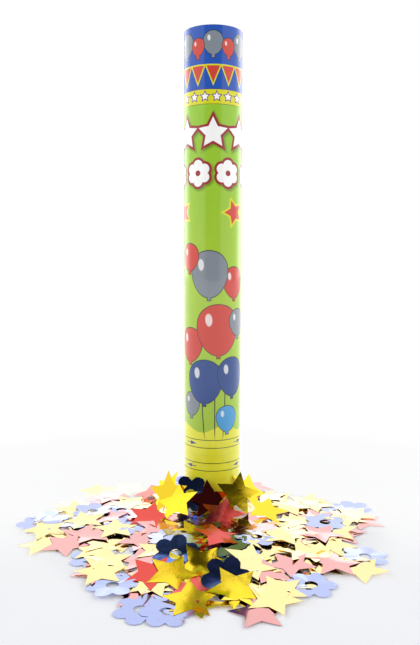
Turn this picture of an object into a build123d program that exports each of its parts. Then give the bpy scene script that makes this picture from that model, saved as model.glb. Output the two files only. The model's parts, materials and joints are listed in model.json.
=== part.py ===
from build123d import *
from math import asin, cos, degrees, radians, sin, sqrt
import os

# A twist-fired confetti popper, in millimetres. It stands on its foot at the origin, +Z runs up the tube
# to the muzzle, and -Y is the front. The base is held still and the launch tube turns on it.

# Overall size and the two wound-board tubes
overall_height = 400.0
outer_diameter = 50.0
board_wall = 2.0
base_height = 44.4
label_thickness = 0.2
label_margin = 0.4  # bare board between the base label and the foot's flange

# Clearances
glue_line = 0.02  # between glued faces
fit_gap = 0.05  # between pieces pushed together
turn_gap = 0.05  # between faces that turn or slide on each other

# Foot cap
foot_flange = 1.6
foot_spigot = 6.0
foot_wall = 1.6
foot_ribs = 6
foot_edge = 0.5

# Fibre washer in the split and the paper sleeve that the launch tube turns on
washer_thickness = 0.3
washer_inset = 0.3
pivot_wall = 0.4
pivot_start = 1.0  # above the foot's spigot
pivot_lap = 38.0  # how far it stands up into the launch tube

# Air can
can_wall = 1.0
can_side = 92.0
can_corner = 3.0
can_rim = 1.6
can_dome_rise = 6.0
can_dome_margin = 2.0  # flat round the filling plug's head
can_shoulder_rise = 11.0
can_neck_diameter = 25.0
can_neck_height = 9.0
bead_lip = 1.5
bead_height = 2.4

# Rubber plug in the can's dome
grommet_diameter = 6.0
grommet_head_diameter = 10.0
grommet_head = 1.5

# Valve seat, its gasket and the ferrule that holds it on the neck
gasket_thickness = 1.0
seat_flange = 2.4
seat_bore = 14.0
seat_ledge = 1.5
seat_ledge_bore = 10.0
barrel_wall = 3.0
barrel_lip = 2.0
flute_width = 3.0
flute_depth = 1.5
crimp_wall = 0.6
crimp_gap = 0.3  # between the ferrule's lips and the neck's radius

# Ball lock
ball_count = 3
ball_diameter = 5.0
ball_proud = 0.2  # how far a locked ball stands out of the barrel
ball_clear = 0.1  # how far a freed ball stands back from the bore
ball_first_angle = 90.0
twist_angle = 60.0
cam_gap = 0.1
cam_margin = 3.0  # extra pocket, in degrees, past the freed ball

# Release plug and its seal
contact_gap = 0.05
stem_gap = 0.2
stem_recess = 1.0
plug_shoulder = 3.0
plug_tail = 5.0
plug_rest_gap = 0.1
seal_section = 1.8
seal_lap = 0.3

# Cam collar
collar_lift = 0.4  # above the ferrule
hub_height = 15.0
hub_wall = 1.6
collar_web = 2.4
collar_skirt = 2.0
collar_ribs = 6
collar_rib_width = 1.6
plenum_height = 2.5  # from the barrel's top to the wad

# Retaining clip
clip_thickness = 0.8
clip_bite = 0.7
clip_reach = 2.2
clip_opening = 7.0

# Wad, packed confetti and lid
wad_thickness = 2.5
wad_skirt = 6.0
wad_wall = 1.2
wad_gap = 0.3
pad_thickness = 5.0
stack_rounds = 2  # gold, red and blue, one above another, this many times
stack_slack = 0.4
lid_recess = 9.0
lid_thickness = 0.8
lid_skirt = 5.0
lid_gap = 0.1

# Die-cut foil confetti
star_points = 5
star_gap = 2.3  # between a star's points and the wad's cup
star_waist = 9.2
flower_petals = 6
flower_trim = 2.0  # how much shorter a petal is than a star's point
petal_radius = 6.0
flower_hole = 8.6
foil_thickness = 0.2

# Bed of loose confetti round the foot
bed_half_width = 160.0
bed_widest = 44.0  # how far in front of the tube the bed is widest
bed_front = 222.0
bed_back = 34.0
bed_corner = 1.7  # 2 gives an oval outline and 1 a diamond
bed_layers = 6
bed_layer_gap = 0.3
bed_piece_gap = 0.8
bed_foot_gap = 0.9  # between the foot and the confetti
bed_turn = 37.0
bed_layer_shrink = 6.0  # how much smaller each layer's outline is
piece_turn = 137.5
bed_mix = ("gold", "red", "gold", "gold", "blue", "gold", "red")

# Pieces that lean on the foot
lean_gap = 0.1  # between a leaning piece and what it leans on
lean_start = 90.0  # radius from which a piece is slid in
lean_steps = 16
# Kind, then in degrees the place round the foot, the lean, the turn in its own plane and the face to one side
leaning_pieces = [
    ("gold", 218, 60, 0, 0),
    ("red", 266, 42, 8, 0),
    ("gold", 328, 44, 20, 0),
    ("gold", 224, 63, 13, 24),
    ("gold", 296, 60, -13, -18),
    ("red", 277, 24, 50, 0),
    ("gold", 247, 20, 30, 10),
    ("gold", 90, 64, 12, 0),
    ("red", 28, 15, 0, 0),
    ("blue", 150, 15, 0, 0),
    ("red", 182, 17, 25, 0),
]

# Radii and heights worked out from the sizes above
outer_radius = outer_diameter / 2
board_radius = outer_radius - label_thickness - glue_line
bore_radius = board_radius - board_wall
foot_top = foot_flange + foot_spigot
tube_bottom = base_height + washer_thickness + turn_gap

can_radius = bore_radius - turn_gap - pivot_wall - glue_line
can_rim_radius = can_radius - can_corner
can_shoulder = foot_top + can_side
neck_bottom = can_shoulder + can_shoulder_rise
neck_top = neck_bottom + can_neck_height
neck_radius = can_neck_diameter / 2
neck_bore = neck_radius - can_wall
bead_radius = neck_radius + bead_lip
bead_bottom = neck_top - bead_height
dome_bottom = foot_top + can_dome_rise
dome_top = dome_bottom + can_wall
grommet_head_radius = grommet_head_diameter / 2
dome_flat = grommet_head_radius + can_dome_margin

flange_bottom = neck_top + gasket_thickness
flange_top = flange_bottom + seat_flange
seat_radius = seat_bore / 2
barrel_radius = seat_radius + barrel_wall
spigot_radius = neck_bore - fit_gap
crimp_lip_radius = neck_radius + crimp_gap

collar_bottom = flange_top + crimp_wall + collar_lift
hub_top = collar_bottom + hub_height
clip_bottom = hub_top + turn_gap
clip_top = clip_bottom + clip_thickness
barrel_top = clip_top + barrel_lip
wad_seat = barrel_top + plenum_height

ball_radius = ball_diameter / 2
ball_height = collar_bottom + hub_height / 2
ball_rest = barrel_radius + ball_proud - ball_radius
ball_travel = seat_radius + ball_clear - (ball_rest - ball_radius)
ball_angles = [ball_first_angle + 360 / ball_count * number for number in range(ball_count)]

plug_radius = seat_radius - turn_gap
stem_radius = ball_rest - ball_radius - stem_gap
flank_sum = ball_rest + ball_height - sqrt(2) * (ball_radius + contact_gap)  # radius + height on the flank
flank_bottom = flank_sum - plug_radius
flank_top = flank_sum - stem_radius
seal_radius = seal_section / 2
seal_height = flank_bottom - plug_shoulder - seal_radius
seal_ring_radius = seat_radius - turn_gap - seal_radius
land_top = seal_height + seal_radius + seal_lap
plug_bottom = seal_height - seal_radius - plug_tail
plug_top = barrel_top - stem_recess
ledge_top = plug_bottom - plug_rest_gap
seat_bottom = ledge_top - seat_ledge

cam_land = ball_rest + ball_radius + cam_gap
cam_rise = ball_travel / twist_angle  # per degree of twist
cam_sweep = twist_angle + degrees(asin(ball_radius / (ball_rest + ball_travel))) + cam_margin
cam_end = cam_land + cam_rise * cam_sweep
hub_radius = cam_end + hub_wall
skirt_radius = bore_radius - glue_line

wad_radius = bore_radius - wad_gap
wad_inside = wad_radius - wad_wall
wad_floor = wad_seat + wad_thickness
lid_top = overall_height - lid_recess
lid_bottom = lid_top - lid_thickness
stack_bottom = wad_floor + pad_thickness

star_reach = wad_inside - star_gap
flower_reach = star_reach - flower_trim
flower_pitch = flower_reach - petal_radius
piece_reach = max(star_reach, flower_reach)
bed_pitch = foil_thickness + bed_layer_gap
bed_top = (bed_layers - 1) * bed_pitch + foil_thickness

low = (Align.CENTER, Align.CENTER, Align.MIN)


def rod(radius, bottom, top):
    """An upright cylinder between two heights."""
    return Pos(0, 0, bottom) * Cylinder(radius, top - bottom, align=low)


def pipe(outside, inside, bottom, top):
    """An upright pipe between two heights."""
    return rod(outside, bottom, top) - rod(inside, bottom, top)


def turned(*corners):
    """A solid turned about Z from corners given as (radius, height)."""
    return revolve(Plane.XZ * Polygon(*corners, align=None), Axis.Z)


def polar(radius, angle):
    """A point in plan."""
    return (radius * cos(radians(angle)), radius * sin(radians(angle)))


def spoke(inside, outside, width, bottom, top, angle):
    """An upright rib that runs outwards between two radii."""
    rib = Box(outside - inside, width, top - bottom, align=(Align.MIN, Align.CENTER, Align.MIN))
    return Rot(0, 0, angle) * Pos(inside, 0, bottom) * rib


# Twist base


def make_foot_cap():
    """Flat foot with a spigot for the sleeve, a ring that seats the can, and ribs between them."""
    spigot_outside = bore_radius - fit_gap
    spigot_inside = spigot_outside - foot_wall
    seat_outside = can_rim_radius + foot_wall / 2
    seat_inside = can_rim_radius - can_rim - foot_wall / 2
    flange = rod(outer_radius, 0, foot_flange)
    cap = chamfer(flange.edges().group_by(Axis.Z)[0], foot_edge)
    cap += pipe(spigot_outside, spigot_inside, foot_flange, foot_top)
    cap += pipe(seat_outside, seat_inside, foot_flange, foot_top)
    for number in range(foot_ribs):
        angle = 360 / foot_ribs * number
        cap += spoke(0, seat_outside, foot_wall, foot_flange, foot_flange + foot_wall, angle)
    return cap


def make_base_sleeve():
    """Wound board of the lower grip, standing on the foot's flange."""
    return pipe(board_radius, bore_radius, foot_flange, base_height)


def make_base_label():
    """Printed film on the lower grip."""
    return pipe(outer_radius, outer_radius - label_thickness, foot_flange + label_margin, base_height)


def make_slip_washer():
    """Fibre washer in the split, lying on the sleeve's end."""
    return pipe(
        board_radius - washer_inset, bore_radius + washer_inset, base_height, base_height + washer_thickness
    )


def make_pivot_sleeve():
    """Paper sleeve round the can, glued in the base and running in the launch tube."""
    inside = can_radius + glue_line
    return pipe(inside + pivot_wall, inside, foot_top + pivot_start, tube_bottom + pivot_lap)


def can_form(inset):
    """The can's outside, or its inside when the wall is taken off."""
    side = can_radius - inset
    floor = foot_top + inset
    dome = dome_bottom + inset
    neck = neck_radius - inset
    shoulder_end = neck_bottom - inset
    with BuildSketch(Plane.XZ) as section:
        with BuildLine():
            Polyline((0, dome), (dome_flat, dome), (can_rim_radius - can_rim, floor), (can_rim_radius, floor))
            TangentArc((can_rim_radius, floor), (side, foot_top + can_corner), tangent=(1, 0))
            Line((side, foot_top + can_corner), (side, can_shoulder))
            TangentArc((side, can_shoulder), (neck, shoulder_end), tangent=(0, 1))
            Polyline((neck, shoulder_end), (neck, neck_top), (0, neck_top), (0, dome))
        make_face()
    return revolve(section.sketch, Axis.Z)


def make_gas_can():
    """Drawn can with a domed bottom, a neck with a bead, and a hole for the filling plug."""
    can = can_form(0) + rod(bead_radius, bead_bottom, neck_top)
    can -= can_form(can_wall)
    return can - rod(grommet_diameter / 2, foot_top, dome_top)


def make_fill_grommet():
    """Rubber plug with a head on each side of the can's dome."""
    neck = grommet_diameter / 2 - fit_gap
    plug = rod(grommet_head_radius, dome_bottom - grommet_head, dome_bottom)
    plug += rod(neck, dome_bottom, dome_top)
    return plug + rod(grommet_head_radius, dome_top, dome_top + grommet_head)


def make_neck_gasket():
    """Flat rubber ring on the neck."""
    return pipe(bead_radius, spigot_radius + fit_gap, neck_top, flange_bottom)


def make_valve_seat():
    """Barrel that guides the plug, with a ledge below it, ball holes, gas flutes and a clip groove."""
    seat = rod(spigot_radius, seat_bottom, flange_bottom)
    seat += rod(bead_radius, flange_bottom, flange_top)
    seat += rod(barrel_radius, flange_top, barrel_top)
    seat -= rod(seat_radius, ledge_top, barrel_top)
    seat -= rod(seat_ledge_bore / 2, seat_bottom, ledge_top)
    seat -= pipe(barrel_radius, barrel_radius - clip_bite, clip_bottom, clip_top)
    flute_outside = seat_radius + flute_depth
    for angle in ball_angles:
        hole = Cylinder(ball_radius + fit_gap, 2 * barrel_radius, align=low)
        seat -= Pos(0, 0, ball_height) * Rot(0, 0, angle) * Rot(0, 90, 0) * hole
        seat -= spoke(0, flute_outside, flute_width, land_top, barrel_top, angle + 180 / ball_count)
    return seat


def make_crimp_ring():
    """Ferrule folded under the can's bead and over the seat's flange."""
    inside = bead_radius + fit_gap
    outside = inside + crimp_wall
    ferrule_bottom = bead_bottom - crimp_wall
    ferrule_top = flange_top + crimp_wall
    ferrule = pipe(outside, inside, ferrule_bottom, ferrule_top)
    ferrule += pipe(outside, crimp_lip_radius, ferrule_bottom, bead_bottom)
    return ferrule + pipe(outside, crimp_lip_radius, flange_top, ferrule_top)


def make_retaining_clip():
    """Open spring clip in the barrel's groove, over the collar's hub."""
    inside = barrel_radius - clip_bite + fit_gap
    outside = barrel_radius + clip_reach
    clip = pipe(outside, inside, clip_bottom, clip_top)
    return clip - spoke(0, outside + clip_reach, clip_opening, clip_bottom, clip_top, ball_first_angle)


# Ball lock


def make_lock_ball(angle):
    """Steel ball half out of the barrel's wall, in the plug's neck."""
    return Pos(*polar(ball_rest, angle), ball_height) * Sphere(ball_radius)


def make_release_plug():
    """Plug with a seal groove, a 45 degree flank under the balls and a thin stem."""
    groove_radius = seal_ring_radius - seal_radius - fit_gap
    groove_bottom = seal_height - seal_radius - fit_gap
    groove_top = seal_height + seal_radius + fit_gap
    return turned(
        (0, plug_bottom),
        (plug_radius, plug_bottom),
        (plug_radius, groove_bottom),
        (groove_radius, groove_bottom),
        (groove_radius, groove_top),
        (plug_radius, groove_top),
        (plug_radius, flank_bottom),
        (stem_radius, flank_top),
        (stem_radius, plug_top),
        (0, plug_top),
    )


def make_plug_seal():
    """Rubber ring in the plug's groove."""
    return Pos(0, 0, seal_height) * Torus(seal_ring_radius, seal_radius)


# Launch tube


def make_launch_tube():
    """Wound board of the launch tube, from the split to the muzzle."""
    return pipe(board_radius, bore_radius, tube_bottom, overall_height)


def make_tube_label():
    """Printed film on the launch tube."""
    return pipe(outer_radius, outer_radius - label_thickness, tube_bottom, overall_height)


def cam_pocket(angle):
    """One pocket in the hub: a ramp that lets a ball move out as the hub turns past it."""
    start = polar(cam_land, angle)
    middle = polar((cam_land + cam_end) / 2, angle - cam_sweep / 2)
    end = polar(cam_end, angle - cam_sweep)
    with BuildSketch() as outline:
        with BuildLine():
            ThreePointArc(start, middle, end)
            Polyline(end, polar(seat_radius, angle - cam_sweep), polar(seat_radius, angle), start)
        make_face()
    return Pos(0, 0, collar_bottom) * extrude(outline.sketch, hub_height)


def make_cam_collar():
    """Moulded collar: a hub with cam pockets, a web on top, ribs below and a skirt glued in the tube."""
    skirt_inside = skirt_radius - collar_skirt
    web_bottom = hub_top - collar_web
    collar = pipe(hub_radius, cam_land, collar_bottom, hub_top)
    collar += pipe(skirt_radius, skirt_inside, collar_bottom, wad_seat)
    collar += pipe(skirt_inside, hub_radius, web_bottom, hub_top)
    rib_inside = hub_radius - hub_wall / 2
    for number in range(collar_ribs):
        angle = 360 / collar_ribs * number
        collar += spoke(rib_inside, skirt_inside, collar_rib_width, collar_bottom, web_bottom, angle)
    for angle in ball_angles:
        collar -= cam_pocket(angle)
    return collar


# Charge


def make_pressure_wad():
    """Board cup that closes the bore above the collar."""
    cup = rod(wad_radius, wad_seat, wad_floor + wad_skirt)
    return cup - rod(wad_inside, wad_floor, wad_floor + wad_skirt)


def make_wad_pad():
    """Felt disc in the cup."""
    return rod(wad_inside - wad_gap, wad_floor, stack_bottom)


def star_face():
    """Outline of a star."""
    corners = []
    for number in range(star_points):
        angle = 90 + 360 / star_points * number
        corners.append(polar(star_reach, angle))
        corners.append(polar(star_waist, angle + 180 / star_points))
    return Polygon(*corners, align=None)


def flower_face():
    """Outline of a flower with a round hole."""
    face = Circle(flower_pitch)
    for number in range(flower_petals):
        face += Pos(*polar(flower_pitch, 360 / flower_petals * number)) * Circle(petal_radius)
    return face - Circle(flower_hole / 2)


piece_faces = {"gold": star_face(), "red": star_face(), "blue": flower_face()}
piece_names = {"gold": "gold_stars", "red": "red_stars", "blue": "blue_flowers"}


def make_packed_stacks():
    """The packed confetti as stacks of each kind, by node name, from the pad up to the lid."""
    stack_height = (lid_bottom - stack_slack - stack_bottom) / (stack_rounds * len(piece_faces))
    stacks = {}
    bottom = stack_bottom
    for number in range(1, stack_rounds + 1):
        for kind, face in piece_faces.items():
            stacks[f"packed_{piece_names[kind]}_{number}"] = Pos(0, 0, bottom) * extrude(face, stack_height)
            bottom += stack_height
    return stacks


def make_muzzle_lid():
    """Board lid pressed into the muzzle, with its skirt upwards."""
    outside = bore_radius - lid_gap
    lid = rod(outside, lid_bottom, lid_top + lid_skirt)
    return lid - rod(outside - lid_thickness, lid_top, lid_top + lid_skirt)


# Loose confetti


def bed_places(layer):
    """Places in one layer of the loose bed: rings round the foot, kept inside the bed's outline."""
    pitch = 2 * piece_reach + bed_piece_gap
    margin = piece_reach + layer * bed_layer_shrink
    half_width = bed_half_width - margin
    front_depth = bed_front - bed_widest - margin
    back_depth = bed_back + bed_widest - margin
    radius = outer_radius + piece_reach + bed_foot_gap + pitch / 2 * (layer % 2)
    places = []
    ring = 0
    while radius <= bed_front - margin:
        count = int(180 / degrees(asin(pitch / 2 / radius)))
        for number in range(count):
            across, along = polar(radius, 360 / count * number + bed_turn * (layer + ring))
            depth = back_depth if along > -bed_widest else front_depth
            sideways = abs(across) / half_width
            lengthways = abs(along + bed_widest) / depth
            if sideways**bed_corner + lengthways**bed_corner <= 1:
                places.append((across, along))
        radius += pitch
        ring += 1
    return places


def lean_piece(kind, place, lean, turn, side, carriers):
    """A foil piece stood on the bed and slid in until it leans on the carriers."""
    foil = Rot(0, 0, side) * Rot(lean, 0, 0) * Rot(0, 0, turn) * extrude(piece_faces[kind], foil_thickness)
    height = bed_top + lean_gap - foil.bounding_box().min.Z
    radius = lean_start
    for step in range(lean_steps):
        piece = Rot(0, 0, place + 90) * Pos(0, -radius, height) * foil
        radius -= min(carrier.distance_to(piece) for carrier in carriers) - lean_gap
    return piece


def make_loose_confetti():
    """Foil pieces by node name: thin flat layers on the floor, and a few that lean on the foot."""
    pieces = {kind: [] for kind in piece_faces}
    carriers = [rod(outer_radius + bed_foot_gap - lean_gap, 0, base_height)]
    for kind, *pose in leaning_pieces:
        carriers.append(lean_piece(kind, *pose, carriers))
        pieces[kind].append(carriers[-1])
    count = 0
    for layer in range(bed_layers):
        height = layer * bed_pitch
        for across, along in bed_places(layer):
            kind = bed_mix[count % len(bed_mix)]
            foil = extrude(piece_faces[kind], foil_thickness)
            pieces[kind].append(Pos(across, along, height) * Rot(0, 0, count * piece_turn) * foil)
            count += 1
    return {f"loose_{piece_names[kind]}": Compound(solids) for kind, solids in pieces.items()}


def make_nodes():
    """Every piece of the popper, by node name."""
    nodes = {
        "foot_cap": make_foot_cap(),
        "base_sleeve": make_base_sleeve(),
        "base_label": make_base_label(),
        "slip_washer": make_slip_washer(),
        "pivot_sleeve": make_pivot_sleeve(),
        "gas_can": make_gas_can(),
        "fill_grommet": make_fill_grommet(),
        "neck_gasket": make_neck_gasket(),
        "valve_seat": make_valve_seat(),
        "crimp_ring": make_crimp_ring(),
        "retaining_clip": make_retaining_clip(),
        "release_plug": make_release_plug(),
        "plug_seal": make_plug_seal(),
        "launch_tube": make_launch_tube(),
        "tube_label": make_tube_label(),
        "cam_collar": make_cam_collar(),
        "pressure_wad": make_pressure_wad(),
        "wad_pad": make_wad_pad(),
        "muzzle_lid": make_muzzle_lid(),
    }
    for number, angle in enumerate(ball_angles, start=1):
        nodes[f"lock_ball_{number}"] = make_lock_ball(angle)
    nodes.update(make_packed_stacks())
    nodes.update(make_loose_confetti())
    return nodes


os.makedirs("parts", exist_ok=True)
for name, shape in make_nodes().items():
    export_step(shape, f"parts/{name}.step")
print(f"twist {twist_angle:.1f} degrees, ball travel {ball_travel:.3f} mm, tube bottom {tube_bottom:.3f} mm")
print(f"wad seat {wad_seat:.3f} mm, lid {lid_bottom:.3f} to {lid_top:.3f} mm, star reach {star_reach:.3f} mm")
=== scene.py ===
import json
import math
import random

import bmesh
import bpy
import numpy as np
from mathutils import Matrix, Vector

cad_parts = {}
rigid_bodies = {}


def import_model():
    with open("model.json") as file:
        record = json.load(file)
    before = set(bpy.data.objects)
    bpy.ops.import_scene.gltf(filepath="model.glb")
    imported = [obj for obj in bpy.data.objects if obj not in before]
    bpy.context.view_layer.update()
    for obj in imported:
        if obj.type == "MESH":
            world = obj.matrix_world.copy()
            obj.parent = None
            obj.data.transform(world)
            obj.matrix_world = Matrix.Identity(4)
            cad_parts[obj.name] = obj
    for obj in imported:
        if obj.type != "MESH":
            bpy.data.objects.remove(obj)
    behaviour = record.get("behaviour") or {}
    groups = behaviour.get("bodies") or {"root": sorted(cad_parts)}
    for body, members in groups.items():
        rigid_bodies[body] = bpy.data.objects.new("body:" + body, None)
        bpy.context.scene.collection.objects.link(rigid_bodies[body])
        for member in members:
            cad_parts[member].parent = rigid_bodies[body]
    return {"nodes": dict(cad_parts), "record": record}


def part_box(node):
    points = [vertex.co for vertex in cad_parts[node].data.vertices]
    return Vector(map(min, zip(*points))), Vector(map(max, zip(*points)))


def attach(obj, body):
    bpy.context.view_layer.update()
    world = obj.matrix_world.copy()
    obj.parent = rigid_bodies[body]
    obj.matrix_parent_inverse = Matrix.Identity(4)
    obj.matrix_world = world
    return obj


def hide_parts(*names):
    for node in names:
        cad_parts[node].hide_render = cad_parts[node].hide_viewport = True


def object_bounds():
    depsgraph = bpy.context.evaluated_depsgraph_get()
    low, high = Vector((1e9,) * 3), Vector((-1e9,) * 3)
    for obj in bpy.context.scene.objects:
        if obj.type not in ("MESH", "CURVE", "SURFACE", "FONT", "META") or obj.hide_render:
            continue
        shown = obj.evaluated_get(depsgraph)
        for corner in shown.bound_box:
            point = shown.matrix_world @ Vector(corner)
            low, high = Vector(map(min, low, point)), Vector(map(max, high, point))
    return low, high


for leftover in list(bpy.data.objects):
    bpy.data.objects.remove(leftover)
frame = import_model()
cadLow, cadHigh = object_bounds()
cadNodes = frame["nodes"]
mm = 0.001
print("frame loaded with", len(cadNodes), "nodes")


# Shader helpers

def colourOf(red, green, blue):
    # a screen colour of 0 to 255 as the linear colour that a socket takes
    parts = [part / 255 for part in (red, green, blue)]
    linear = [part / 12.92 if part <= 0.04045 else ((part + 0.055) / 1.055) ** 2.4 for part in parts]
    return (*linear, 1.0)


def darkerOf(tint, share):
    return colourOf(*[part * share for part in tint])


class Field:
    # a socket whose value changes over a surface, with plain arithmetic for its math nodes

    def __init__(self, socket):
        self.socket = socket
        self.tree = socket.id_data

    def __add__(self, other):
        return calc("ADD", self, other)

    def __sub__(self, other):
        return calc("SUBTRACT", self, other)

    def __rsub__(self, other):
        return calc("SUBTRACT", other, self)

    def __mul__(self, other):
        return calc("MULTIPLY", self, other)

    def __truediv__(self, other):
        return calc("DIVIDE", self, other)

    def __neg__(self):
        return self * -1.0

    def __abs__(self):
        return calc("ABSOLUTE", self)


def plug(value, socket):
    if isinstance(value, Field):
        value.tree.links.new(value.socket, socket)
    else:
        socket.default_value = value


def feed(node, values, slots):
    for value, slot in zip(values, slots):
        plug(value, node.inputs[slot])


def treeOf(values):
    return next(value.tree for value in values if isinstance(value, Field))


def newField(kind, values, slots, output=0, **settings):
    # one node, in the tree that its values come from
    node = treeOf(values).nodes.new(kind)
    for name, setting in settings.items():
        setattr(node, name, setting)
    feed(node, values, slots)
    return Field(node.outputs[output])


def calc(operation, *values):
    return newField("ShaderNodeMath", values, range(3), operation=operation)


def square(value):
    return value * value


def lengthOf(x, y):
    return calc("SQRT", square(x) + square(y))


def ramp(value, start, end):
    # 0 at start, 1 at end, eased between
    slots = ("Value", "From Min", "From Max")
    return newField("ShaderNodeMapRange", (value, start, end), slots, "Result", interpolation_type="SMOOTHSTEP")


def edgeAt(value, edge, soft):
    return ramp(value, edge - soft, edge + soft)


def blendColour(mask, under, over):
    return newField("ShaderNodeMix", (mask, under, over), (0, 6, 7), 2, data_type="RGBA")


def between(share, start, end):
    return newField("ShaderNodeMix", (share, start, end), (0, 2, 3))


def axes(place):
    node = place.tree.nodes.new("ShaderNodeSeparateXYZ")
    plug(place, node.inputs[0])
    return [Field(socket) for socket in node.outputs]


def join(x, y, z):
    return newField("ShaderNodeCombineXYZ", (x, y, z), range(3))


def cloud(place, scale, detail=2.0, rough=0.5):
    slots = ("Vector", "Scale", "Detail", "Roughness")
    return newField("ShaderNodeTexNoise", (place, scale, detail, rough), slots, "Fac")


def attributeOf(place, name):
    return newField("ShaderNodeAttribute", (place,), (), "Fac", attribute_name=name)


socketKinds = {"Place": "NodeSocketVector"}   # the sockets not listed are plain numbers
socketKinds.update(dict.fromkeys(("Colour", "Under", "Fill", "Line"), "NodeSocketColor"))


def addSockets(group, way, labels):
    for label in labels:
        kind = socketKinds.get(label, "NodeSocketFloat")
        group.interface.new_socket(label, in_out=way, socket_type=kind)


def openGroup(name, *inputs):
    group = bpy.data.node_groups.new(name, "ShaderNodeTree")
    addSockets(group, "INPUT", inputs)
    return {socket.name: Field(socket) for socket in group.nodes.new("NodeGroupInput").outputs}


def closeGroup(**outputs):
    group = treeOf(outputs.values())
    addSockets(group, "OUTPUT", outputs)
    feed(group.nodes.new("NodeGroupOutput"), outputs.values(), outputs)
    return group


def useGroup(group, **values):
    node = treeOf(values.values()).nodes.new("ShaderNodeGroup")
    node.node_tree = group
    feed(node, values.values(), values)
    return {socket.name: Field(socket) for socket in node.outputs}


def newMaterial(name, **settings):
    material = bpy.data.materials.new(name)
    material.use_nodes = True
    nodes = material.node_tree.nodes
    shader = nodes["Principled BSDF"]
    feed(shader, settings.values(), settings)
    return material, shader, Field(nodes.new("ShaderNodeTexCoord").outputs["Object"])


def coverWith(shader, colour, height, depth, strength=0.5):
    # the colour of a surface and the relief on it
    relief = newField("ShaderNodeBump", (strength, depth, height), ("Strength", "Distance", "Height"))
    feed(shader, (colour, relief), ("Base Color", "Normal"))


# Effects that several finishes share

def makeGrain():
    take = openGroup("fineGrain", "Place", "Scale", "Colour", "Spread")
    grain = cloud(take["Place"], take["Scale"], detail=5.0, rough=0.65)
    value = (grain - 0.5) * take["Spread"] + 1.0
    tone = newField("ShaderNodeHueSaturation", (take["Colour"], value), ("Color", "Value"))
    return closeGroup(Colour=tone, Height=grain)


def makeBrushed(stretch=0.4):
    # fine lines that run round the axis, as on drawn or turned metal
    take = openGroup("brushedRound", "Place", "Lines")
    x, y, z = axes(take["Place"])
    along = (z + lengthOf(x, y)) * take["Lines"]
    streaks = join(along, calc("ARCTAN2", y, x) * stretch, 0.0)
    return closeGroup(Mask=cloud(streaks, 1.0, detail=4.0, rough=0.7))


def makeCrinkle(finer=1.7, creaseWidth=0.12, creaseDepth=0.05):
    # soft dents and sharp hair creases of thin foil
    take = openGroup("foilCrinkle", "Place", "Size")
    dents = cloud(take["Place"], take["Size"], detail=1.5)
    cells = (take["Place"], take["Size"] * finer)
    apart = newField("ShaderNodeTexVoronoi", cells, ("Vector", "Scale"), "Distance", feature="DISTANCE_TO_EDGE")
    return closeGroup(Height=dents + ramp(apart, 0.0, creaseWidth) * creaseDepth, Mask=dents)


fineGrain = makeGrain()
brushedRound = makeBrushed()
foilCrinkle = makeCrinkle()


# Print on the wrapped film: shapes as distances in millimetres on the unrolled sheet, each taking the place
# across and up from its own middle

def makeSheetPlace():
    take = openGroup("sheetPlace", "Place", "Radius")
    x, y, z = axes(take["Place"])
    return closeGroup(Around=calc("ARCTAN2", x, -y) * take["Radius"], Height=z * 1000.0)


def makeBalloonShape(swell=0.14, knotDrop=1.1, knotHalf=1.3, shineMiddle=(-0.42, 0.40),
                     shineHalf=(0.16, 0.26)):
    take = openGroup("balloonShape", "Across", "Up", "HalfWidth", "HalfHeight")
    across, up, wide, tall = take["Across"], take["Up"], take["HalfWidth"], take["HalfHeight"]
    upShare = up / tall
    acrossShare = across / (wide * calc("MULTIPLY_ADD", upShare, swell, 1.0))
    body = (lengthOf(acrossShare, upShare) - 1.0) * wide
    knot = calc("MAXIMUM", abs(across), abs(up + tall + knotDrop)) - knotHalf
    shineAcross = (acrossShare - shineMiddle[0]) / shineHalf[0]
    shineUp = (upShare - shineMiddle[1]) / shineHalf[1]
    shine = 1.0 - ramp(square(shineAcross) + square(shineUp), 0.6, 1.2)
    return closeGroup(Distance=calc("MINIMUM", body, knot), Shine=shine)


def pointPlace(take, points, turn=0.0):
    # how far out a place is, with its parts along and beside the line of the nearest point
    half = math.pi / points
    angle = abs(calc("WRAP", calc("ARCTAN2", take["Across"], take["Up"]) + turn, half, -half))
    reach = lengthOf(take["Across"], take["Up"])
    return reach, reach * calc("COSINE", angle), reach * calc("SINE", angle)


def makeStarShape(points=5, waist=0.5):
    half = math.pi / points
    edge = Vector((waist * math.cos(half) - 1.0, waist * math.sin(half))).normalized()
    take = openGroup("starShape", "Across", "Up", "Reach", "Turn")
    reach, along, beside = pointPlace(take, points, take["Turn"])
    return closeGroup(Distance=(along - take["Reach"]) * edge.y + beside * -edge.x)


def makeFlowerShape(petals=6):
    take = openGroup("flowerShape", "Across", "Up", "Pitch", "Petal")
    reach, along, beside = pointPlace(take, petals)
    petalAway = lengthOf(along - take["Pitch"], beside) - take["Petal"]
    return closeGroup(Distance=calc("MINIMUM", petalAway, reach - take["Pitch"]), FromMiddle=reach)


def makePennantShape(slant=0.93):
    take = openGroup("pennantShape", "Across", "Up", "HalfWidth", "Drop")
    side = abs(take["Across"]) - (take["Up"] / take["Drop"] + 1.0) * take["HalfWidth"]
    return closeGroup(Distance=calc("MAXIMUM", side * slant, take["Up"]))


def makeArrowShape(shaftHalf=0.28, headSlope=0.25):
    # points along +Across when Way is 1 and back when it is -1
    take = openGroup("arrowShape", "Across", "Up", "Way", "Length", "Head")
    ahead = take["Across"] * take["Way"]
    beside = abs(take["Up"])
    half = take["Length"] * 0.5
    tipGap = ahead - half
    shaft = calc("MAXIMUM", beside - shaftHalf, abs(ahead) - half)
    head = calc("MAXIMUM", beside + tipGap * headSlope, -(tipGap + take["Head"]))
    return closeGroup(Distance=calc("MINIMUM", shaft, head))


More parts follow.
